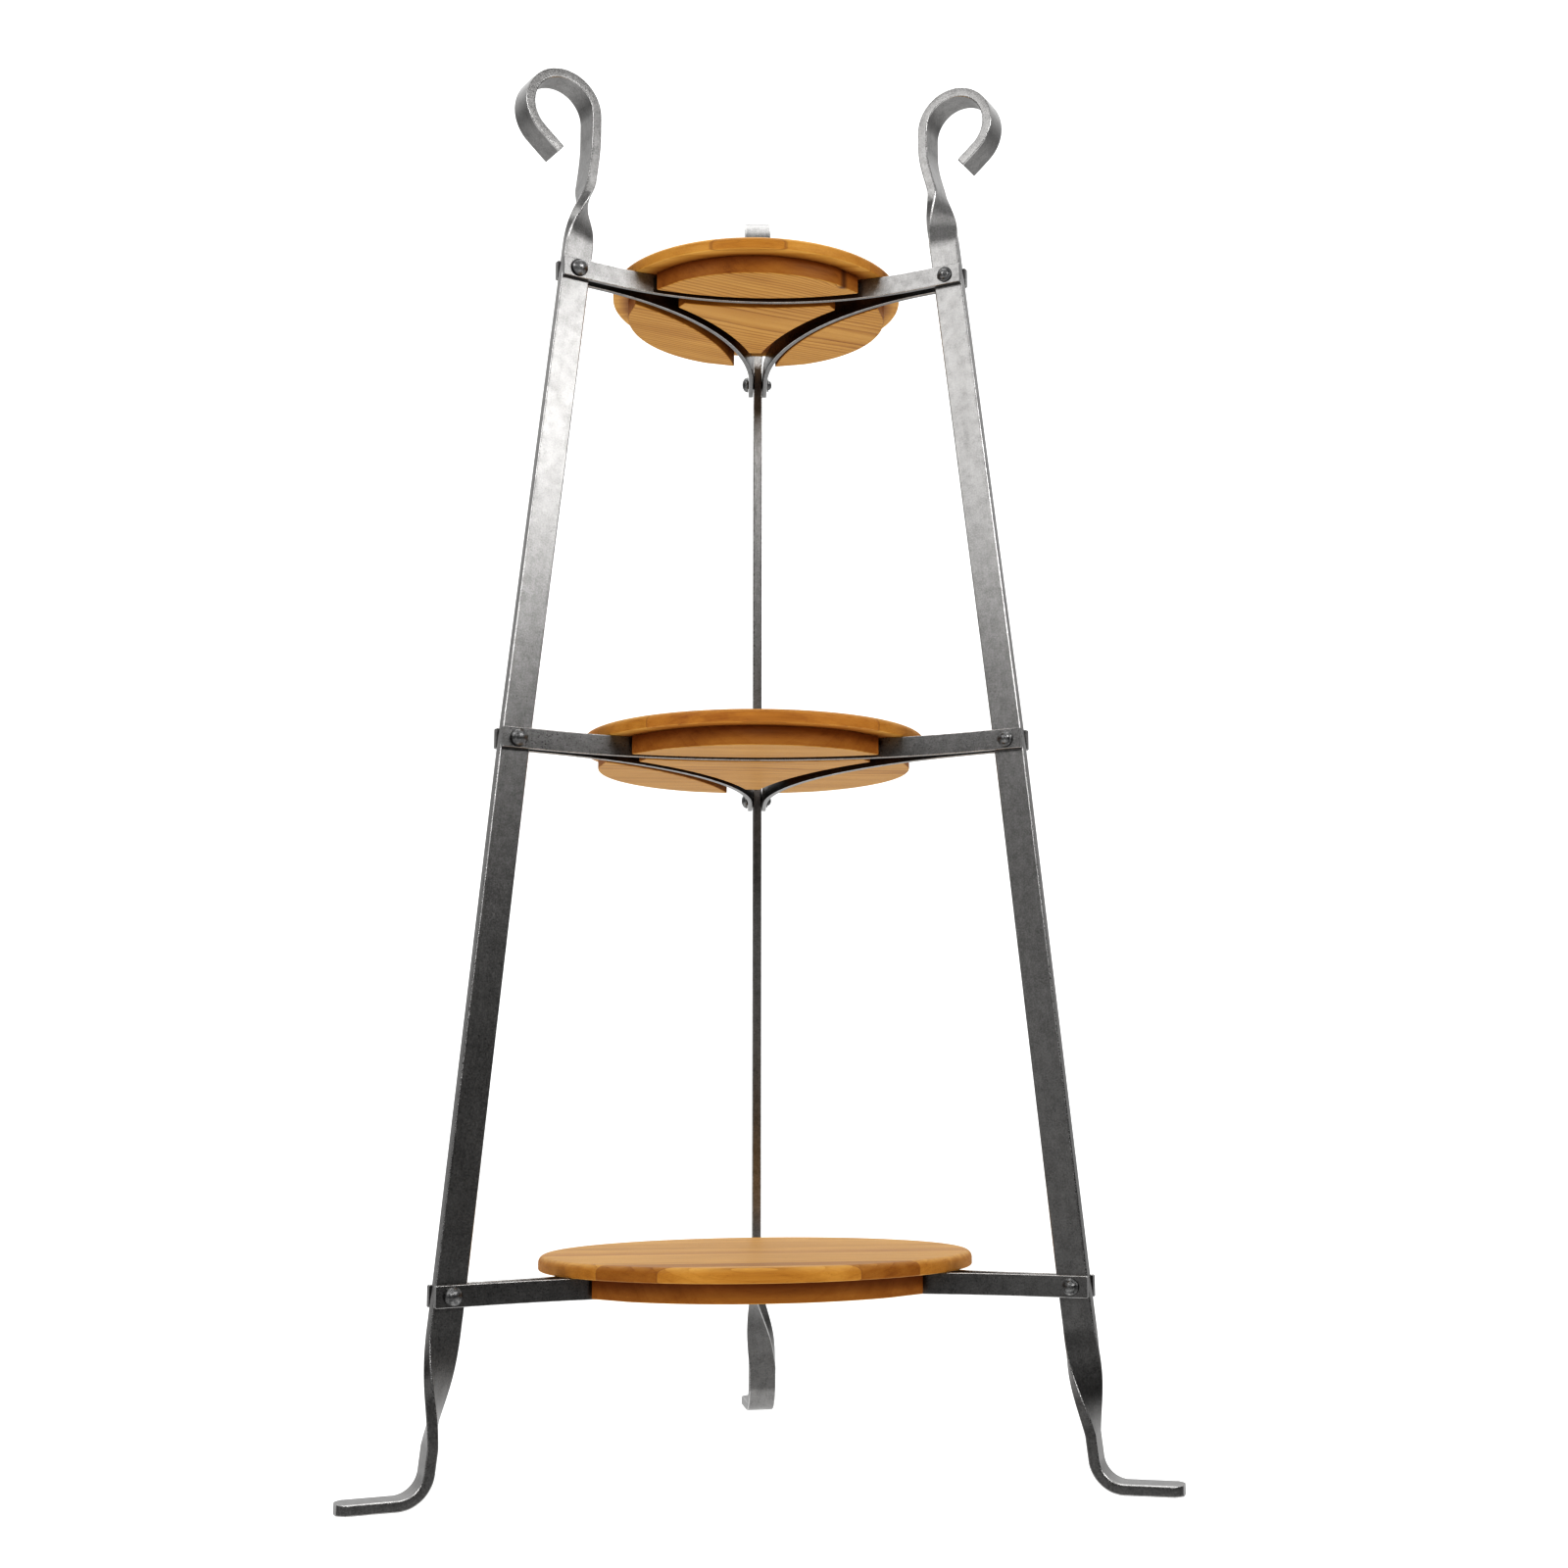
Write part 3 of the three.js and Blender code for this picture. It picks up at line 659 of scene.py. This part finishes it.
def wood_material(name, centre, turn, stave, offset, seed, ring_show, side_shade,
                  tint=1.0, knots=(), dark_stave=None, block_shadow_top=0.0, underside_shadow_from=None):
    """Oiled edge-glued hardwood: growth rings round a pith line of each stave, fibres, pores, glue lines.

    turn is the grain's turn about Z; stave and offset are the staves' width and where their glue lines
    are, in metres; knots are (x, y, radius) in the turned frame. recess is the height of the joint that a
    block makes with its board, below which painted shadow darkens the block's upright faces over 9 mm, and
    lip the radius from which a board overhangs its blocks; painted shadow darkens its underside out to 7 mm
    beyond it.
    """
    m = Nodes(name)
    obj = m.node("ShaderNodeTexCoord", output=3)
    centred = m.vmath("SUBTRACT", obj, centre)
    local = m.node("ShaderNodeMapping", {"Vector": centred, "Rotation": (0, 0, turn)})
    x, y, z = m.split(local)
    shifted = m.add(y, offset)
    across = m.math("DIVIDE", shifted, stave)
    index = m.math("FLOOR", across)
    within = m.sub(m.sub(across, index), 0.5)
    pick = m.node("ShaderNodeTexWhiteNoise", {"W": m.add(index, seed)}, output=1, noise_dimensions="1D")
    r1, r2, r3 = m.split(pick)
    # each stave's own pith line, outside it
    side = m.add(m.mul(within, stave), m.mul(m.sub(r1, 0.5), PITH_REACH))
    depth = m.add(z, m.add(m.mul(r2, PITH_SPREAD), PITH_DEPTH))
    along = m.add(x, m.mul(r3, 3.0))
    slow = m.noise(m.join(m.mul(along, 4.5), m.mul(side, 9.0), r2), 1.0, 2.0, 0.5)
    drift = m.mul(m.sub(slow, 0.5), 0.03)
    drifted = m.add(side, drift)
    radius = m.math("SQRT", m.add(m.mul(drifted, drifted), m.mul(depth, depth)))
    fine = m.noise(m.join(m.mul(along, 22.0), m.mul(side, 120.0), z), 1.0, 2.0, 0.5)
    radius = m.add(radius, m.mul(m.sub(fine, 0.5), 0.0016))
    for knot in knots:  # the rings bend round a knot
        size = knot[2]
        away = m.math("EXPONENT", m.mul(knot_distance(m, x, y, knot, 0.25), -1.0 / (2.2 * size)))
        radius = m.add(radius, m.mul(away, size * 2.6))
    late = m.math("POWER", m.math("FRACT", m.mul(radius, RINGS_PER_METRE)), 2.6)
    fibres = m.noise(m.scaled(along, side, z, (26.0, 1500.0, 1500.0)), 1.0, 3.0, 0.6)
    bands = m.noise(m.scaled(along, side, z, (7.0, 130.0, 130.0)), 1.0, 3.0, 0.55)
    _, _, nz = m.split(m.node("ShaderNodeNewGeometry", output=1))
    upright = m.remap(m.math("ABSOLUTE", nz), 0.8, 0.35, 0.0, 1.0)
    ring_weight = m.remap(upright, 0.0, 0.6, ring_show, 0.07)
    tone = m.mul(late, ring_weight)
    tone = m.add(tone, m.mul(m.sub(ring_show, ring_weight), 0.33))
    tone = m.add(tone, m.mul(fibres, 0.26))
    tone = m.add(tone, m.mul(bands, 0.5))
    tone = m.add(tone, m.mul(m.mul(m.sub(bands, 0.5), upright), 0.35))
    tone = m.add(tone, m.mul(m.sub(r3, 0.5), 0.26))
    tone = m.remap(tone, 0.26, 0.88)
    deep = shade(FRESH_DEEP, tint)
    colour = m.ramp(tone, [(0.0, shade(FRESH_LIGHT, tint)), (0.5, shade(FRESH_MID, tint)), (1.0, deep)])
    redder = m.mix(0.22, colour, shade(RED_STAVE, tint))
    colour = m.mix(m.remap(r1, 0.55, 0.95), colour, redder)
    pores = m.noise(m.scaled(along, side, z, (170.0, 2600.0, 2600.0)), 1.0, 1.0, 0.5)
    pores = m.remap(pores, 0.66, 0.76)
    colour = m.mix(m.mul(pores, 0.35), colour, PORE)
    # end grain drinks more oil: it shows where the surface faces along the fibres
    normal = m.node("ShaderNodeNewGeometry", output=1)
    nx, _, _ = m.split(m.node("ShaderNodeMapping", {"Vector": normal, "Rotation": (0, 0, turn)}))
    end = m.remap(m.math("ABSOLUTE", nx), 0.35, 0.95)
    end_dots = m.noise(m.join(m.mul(y, 1300.0), m.mul(z, 1300.0), seed), 1.0, 2.0, 0.5)
    end_colour = m.mix(m.remap(end_dots, 0.4, 0.65), shade(END_GRAIN, tint), deep)
    colour = m.mix(m.mul(end, 0.45), colour, end_colour)
    for knot in knots:
        size = knot[2]
        inside = m.remap(knot_distance(m, x, y, knot, 0.4), size, size * 0.25, 0.0, 0.85)
        colour = m.mix(inside, colour, KNOT)
    blotch = m.remap(m.noise(local, 16.0, 3.0, 0.55), 0.3, 0.7, 0.0, 0.32)
    colour = m.darken(blotch, colour, BLOTCH)
    if dark_stave is not None:
        colour = m.darken(m.mul(m.math("COMPARE", index, dark_stave, 0.5), 0.75), colour, DARK_STAVE_TINT)
    # painted shade: the upright faces, edges and sides, are darkened and reddened against the flat faces
    colour = m.darken(upright, colour, side_shade)
    if block_shadow_top:
        # painted shadow: the block's upright faces darken towards the board above them, under its overhang
        block_shadow = m.mul(upright, m.remap(z, block_shadow_top - 0.009, block_shadow_top, 0.0, 0.75))
        colour = m.darken(block_shadow, colour, BLOCK_SHADOW_TINT)
    if underside_shadow_from:
        # painted shadow also on the board's underside beside the blocks
        from_axis = m.math("SQRT", m.add(m.mul(x, x), m.mul(y, y)))
        below = m.mul(m.remap(nz, -0.6, -0.9, 0.0, 0.8), m.remap(from_axis, underside_shadow_from, underside_shadow_from + 0.007, 1.0, 0.0))
        colour = m.darken(below, colour, UNDERSIDE_SHADOW_TINT)
    # glue lines between the staves
    glue = m.remap(m.sub(0.5, m.math("ABSOLUTE", within)), 0.0045, 0.011, 1.0, 0.0)
    colour = m.mix(m.mul(glue, 0.45), colour, GLUE)
    m.set("Base Color", colour)
    rough = m.add(0.36, m.mul(fibres, 0.16))
    m.set("Roughness", m.add(rough, m.mul(end, 0.12)))
    height = m.sub(m.mul(fibres, 0.5), m.mul(pores, 0.9))
    height = m.sub(height, m.mul(glue, 1.2))
    height = m.add(height, m.mul(late, 0.25))
    m.set("Normal", m.bump(height, 0.35, 0.00012))
    m.shader.inputs["Specular IOR Level"].default_value = 0.18
    m.shader.inputs["Coat Weight"].default_value = 0.03
    m.shader.inputs["Coat Roughness"].default_value = 0.35
    return m.material


# ------------------------------------------------------------------ build the pieces
leg_steel = steel_material("leg steel", 0.085, 0.245, 0.35, 0.0)
# the straps use a darker copy of the leg steel: painted shade for the boards' shadow on them
strap_steel = steel_material("strap steel", 0.06, 0.185, 0.33, 5.0, painted_inner_shade=True)
rivet_steel = rivet_material("rivet steel")


def dress(piece, body, node, material):
    piece.data.materials.clear()
    piece.data.materials.append(material)
    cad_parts[node].data.materials.clear()
    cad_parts[node].data.materials.append(material)
    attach(piece, body)
    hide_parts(node)


for i, leg in enumerate(LEGS):
    node = f"leg_{leg}"
    dress(make_leg(f"fine_{node}", leg, 0.31 * i), "frame", node, leg_steel)

# turn of the grain, degrees; stave width and offset of the glue lines from the middle, metres
BOARD_TURN = {"top": 4, "middle": -3, "bottom": 0}
BLOCK_TURN = {"top": -25, "middle": -5, "bottom": -3}
STAVE = {"top": (0.036, 0.021), "middle": (0.038, 0.009), "bottom": (0.0247, 0.0226)}
DARK_STAVE = {"bottom": -4}
BLOCK_STAVE = (0.26, 0.137)
KNOTS = {"top": ((0.0222, -0.0812, 0.0028), (0.0255, -0.0838, 0.0018))}
BOARD_RINGS, BLOCK_RINGS, BLOCK_TINT = 0.26, 0.42, 0.88
for n, (name, level) in enumerate(LEVELS.items()):
    for i, (side, start) in enumerate(STRAPS.items()):
        node = f"{name}_strap_{side}"
        strap = make_strap(f"fine_{node}", level, start, 0.17 * (3 * n + i))
        dress(strap, "frame", node, strap_steel)
    for i, (leg, azimuth) in enumerate(LEGS.items()):
        node = f"rivet_{name}_{leg}"
        rivet = make_rivet(f"fine_{node}", level, azimuth, 3 * n + i)
        dress(rivet, "frame", node, rivet_steel)
    dx, dy = level["shift"]
    centre = (dx * MM, (AXIS_Y + dy) * MM, level["z"] * MM)
    board_wood = wood_material(
        f"{name} board wood", centre, rad(BOARD_TURN[name]), *STAVE[name], 11.0 + 7 * n, BOARD_RINGS,
        BOARD_SIDE_SHADE, dark_stave=DARK_STAVE.get(name), underside_shadow_from=(level["board"] - LIP) * MM)
    block_wood = wood_material(
        f"{name} block wood", centre, rad(BLOCK_TURN[name]), *BLOCK_STAVE, 31.0 + 5 * n, BLOCK_RINGS,
        BLOCK_SIDE_SHADE, tint=BLOCK_TINT, knots=KNOTS.get(name, ()), block_shadow_top=STRAP_HEIGHT / 2 * MM)
    body = f"{name}_shelf"
    dress(make_board(f"fine_{name}_board", level), body, f"{name}_board", board_wood)
    outlines = {"core": core_outline(level)}
    outlines.update((side, segment_outline(level, azimuth)) for side, azimuth in SEGMENTS.items())
    for part, outline in outlines.items():
        node = f"{name}_block_{part}"
        dress(make_block(f"fine_{node}", level, outline), body, node, block_wood)

# ------------------------------------------------------------------ floor, light
FLOOR_HALF = 7
floor_mesh = bpy.data.meshes.new("floor")
floor_corners = [(x * FLOOR_HALF, y * FLOOR_HALF, 0) for x, y in ((-1, -1), (1, -1), (1, 1), (-1, 1))]
floor_mesh.from_pydata(floor_corners, [], [(0, 1, 2, 3)])
floor = bpy.data.objects.new("floor", floor_mesh)
bpy.context.scene.collection.objects.link(floor)
paper = Nodes("floor paper")
paper_obj = paper.node("ShaderNodeTexCoord", output=3)
paper_tone = paper.noise(paper_obj, 3.0, 2.0)
paper.set("Base Color", paper.mix(paper_tone, (0.86, 0.86, 0.86, 1), (0.89, 0.89, 0.89, 1)))
paper.set("Roughness", 0.9)
# the paper is lit through from below, so only a trace of shadow shows on it
eye = paper.node("ShaderNodeLightPath", output=0)
glowing = paper.node("ShaderNodeEmission", {"Color": (1, 1, 1, 1), "Strength": 1.0})
share = paper.math("MULTIPLY_ADD", eye, 0.3, 0.55)
lit_paper = paper.node("ShaderNodeMixShader", {0: share, 1: paper.shader.outputs[0], 2: glowing})
paper.tree.links.new(lit_paper, paper.out.inputs[0])
floor_mesh.materials.append(paper.material)
floor.visible_glossy = False

# the studio: white all round to the eye; it lights from overhead, underfoot and behind, and is dim in front
world = bpy.data.worlds.new("studio")
world.use_nodes = True
sky = world.node_tree
sky.nodes.clear()


def sky_node(kind, inputs, output=0, **settings):
    n = sky.nodes.new(kind)
    for key, value in settings.items():
        setattr(n, key, value)
    for key, value in inputs.items():
        if isinstance(value, bpy.types.NodeSocket):
            sky.links.new(value, n.inputs[key])
        else:
            n.inputs[key].default_value = value
    return n.outputs[output]


direction = sky.nodes.new("ShaderNodeSeparateXYZ")
sky.links.new(sky_node("ShaderNodeTexCoord", {}, 0), direction.inputs[0])
toward_back, toward_up = direction.outputs[1], direction.outputs[2]


def brightening(along, start, end, dark, bright):
    return sky_node("ShaderNodeMapRange", {0: along, 1: start, 2: end, 3: dark, 4: bright})


overhead = brightening(toward_up, 0.15, 0.75, 0.02, 0.6)
underfoot = brightening(toward_up, -0.06, -0.55, 0.0, 0.85)
behind = brightening(toward_back, -0.1, 0.6, 0.0, 0.5)
level_up = brightening(toward_up, -0.42, -0.12, 0.0, 1.0)
glow = sky_node("ShaderNodeMath", {0: behind, 1: level_up, 2: overhead}, operation="MULTIPLY_ADD")
glow = sky_node("ShaderNodeMath", {0: glow, 1: underfoot}, operation="ADD")
lit = sky_node("ShaderNodeBackground", {0: (1, 1, 1, 1), 1: glow})
seen = sky_node("ShaderNodeBackground", {0: (1, 1, 1, 1), 1: 1.0})
to_eye = sky_node("ShaderNodeLightPath", {}, 0)
both = sky_node("ShaderNodeMixShader", {0: to_eye, 1: lit, 2: seen})
sky.links.new(both, sky.nodes.new("ShaderNodeOutputWorld").inputs[0])
bpy.context.scene.world = world


def softbox(name, at, aim, size, power):
    data = bpy.data.lights.new(name, "AREA")
    data.shape = "RECTANGLE"
    data.size, data.size_y = size
    data.energy = power
    lamp = bpy.data.objects.new(name, data)
    lamp.location = at
    lamp.rotation_euler = (Vector(aim) - Vector(at)).to_track_quat("-Z", "Y").to_euler()
    bpy.context.scene.collection.objects.link(lamp)


# name, place, aim, size in metres, and watts
SOFTBOXES = (
    ("key", (1.25, -1.30, 1.27), (-0.13, -0.2, 0.72), (1.1, 0.38), 7.8),
    ("fill", (-1.26, -1.30, 1.38), (0.12, -0.2, 0.72), (1.1, 0.8), 6.9),
    ("side", (-1.65, -1.25, 0.25), (0.15, -0.2, 0.2), (1.0, 0.7), 1.0),
    ("window", (0, -2.7, 1.12), (0, 0, 0.7), (0.9, 0.34), 6.5),
    ("top", (0, 0.2, 2.4), (0, -0.05, 0.3), (1.6, 1.6), 11),
)
for box in SOFTBOXES:
    softbox(*box)
